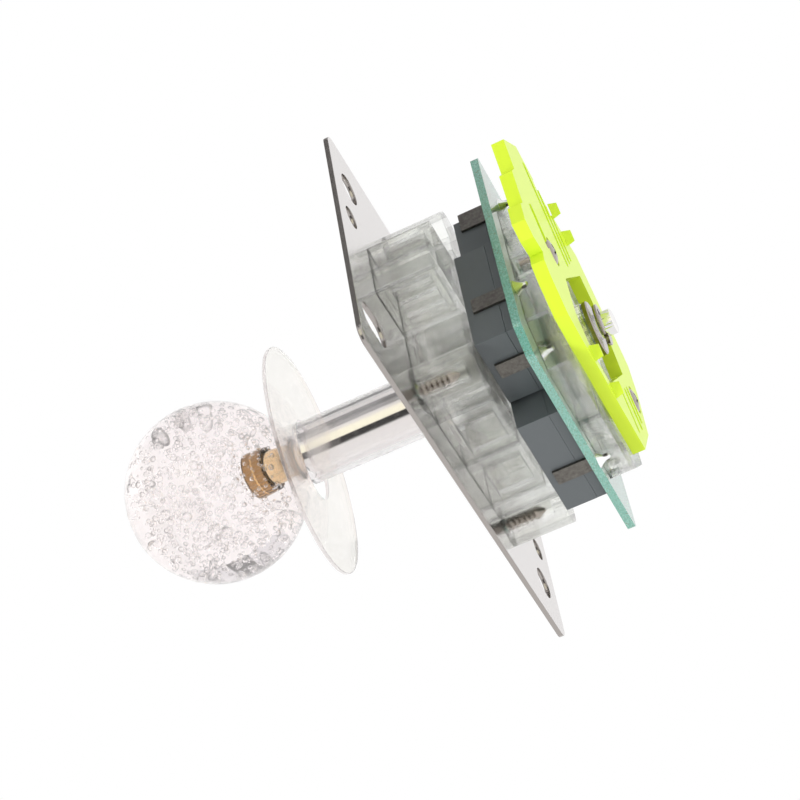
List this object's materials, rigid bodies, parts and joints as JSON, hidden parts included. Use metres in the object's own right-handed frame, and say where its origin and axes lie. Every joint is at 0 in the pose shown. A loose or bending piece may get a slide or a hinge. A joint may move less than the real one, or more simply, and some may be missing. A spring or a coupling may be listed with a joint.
{
  "type": "arcade joystick lever",
  "caption": "Clear-bodied arcade joystick with ball top on a sprung tilting shaft, flat mounting plate, pinwheel of microswitches, circuit board and bright gate plate.",
  "frame": {"origin": "centre of the mounting plate's face on the ball side, on the lever's axis", "axes": "+Z out of the plate towards the ball, +X along the plate's long side, +Y along its short side"},
  "size_m": [0.095, 0.06, 0.1058],
  "materials": {
    "ball_acrylic": "clear acrylic with bubbles",
    "brass": "knurled",
    "clear_tube": "clear polycarbonate",
    "polished_steel": "polished",
    "pivot_plastic": "smooth, greased",
    "zinc_plate": "zinc plated, satin",
    "screw_steel": "plain steel",
    "spring_steel": "wire",
    "clear_base": "clear polycarbonate",
    "clear_actuator": "clear acetal",
    "neon_acrylic": "edge-glowing, bright yellow-green",
    "board_green": "solder mask",
    "solder": "shiny solder",
    "header_plastic": "plain",
    "pin_brass": "tinned",
    "switch_grey": "fine satin",
    "switch_cover_grey": "fine satin",
    "plunger_red": "smooth",
    "nickel": "dull nickel"
  },
  "bodies": {
    "housing": {"mounting_plate": "zinc_plate", "plate_screws": "screw_steel", "base": "clear_base", "spring_seat": "screw_steel", "circuit_board": "board_green", "solder_joints": "solder", "gate_frame": "clear_base", "gate_plate": "neon_acrylic", "gate_screws": "screw_steel", "connector": "header_plastic", "connector_pins": "pin_brass", "switch_a_case": "switch_grey", "switch_a_cover": "switch_cover_grey", "switch_a_terminals": "nickel", "switch_b_case": "switch_grey", "switch_b_cover": "switch_cover_grey", "switch_b_terminals": "nickel", "switch_c_case": "switch_grey", "switch_c_cover": "switch_cover_grey", "switch_c_terminals": "nickel", "switch_d_case": "switch_grey", "switch_d_cover": "switch_cover_grey", "switch_d_terminals": "nickel"},
    "spring": {"spring": "spring_steel"},
    "pivot": {"pivot": "pivot_plastic"},
    "lever": {"shaft": "polished_steel", "ball_top": "ball_acrylic", "thread_insert": "brass", "actuator": "clear_actuator", "end_washer": "screw_steel", "e_ring": "screw_steel"},
    "shaft_cover": {"shaft_cover": "clear_tube"},
    "dust_washer": {"dust_washer": "clear_tube"},
    "plunger_a": {"switch_a_plunger": "plunger_red"},
    "plunger_b": {"switch_b_plunger": "plunger_red"},
    "plunger_c": {"switch_c_plunger": "plunger_red"},
    "plunger_d": {"switch_d_plunger": "plunger_red"}
  },
  "joints": [
    {"name": "tilt_x", "type": "hinge", "parent": "housing", "child": "spring", "pos_m": [0, 0, -0.007], "axis": [1, 0, 0], "range_deg": [-7.5, 7.5], "stiffness_Nm_per_rad": 0.9, "deforming": ["spring"]},
    {"name": "tilt_y", "type": "hinge", "parent": "spring", "child": "pivot", "pos_m": [0, 0, -0.007], "axis": [0, 1, 0], "range_deg": [-7.5, 7.5], "stiffness_Nm_per_rad": 0.9},
    {"name": "lever_spin", "type": "hinge", "parent": "pivot", "child": "lever", "pos_m": [0, 0, -0.007], "axis": [0, 0, 1], "continuous": true},
    {"name": "cover_spin", "type": "hinge", "parent": "lever", "child": "shaft_cover", "pos_m": [0, 0, 0.01], "axis": [0, 0, 1], "continuous": true},
    {"name": "washer_slide", "type": "slide", "parent": "lever", "child": "dust_washer", "axis": [0, 0, 1], "range_m": [-0.0232, 0.001]},
    {"name": "plunger_a_press", "type": "slide", "parent": "housing", "child": "plunger_a", "axis": [1, 0, 0], "range_m": [0, 0.00085], "stiffness_N_per_m": 500, "springref_m": -0.0008},
    {"name": "plunger_b_press", "type": "slide", "parent": "housing", "child": "plunger_b", "axis": [0, -1, 0], "range_m": [0, 0.00085], "stiffness_N_per_m": 500, "springref_m": -0.0008},
    {"name": "plunger_c_press", "type": "slide", "parent": "housing", "child": "plunger_c", "axis": [-1, 0, 0], "range_m": [0, 0.00085], "stiffness_N_per_m": 500, "springref_m": -0.0008},
    {"name": "plunger_d_press", "type": "slide", "parent": "housing", "child": "plunger_d", "axis": [0, 1, 0], "range_m": [0, 0.00085], "stiffness_N_per_m": 500, "springref_m": -0.0008}
  ]
}
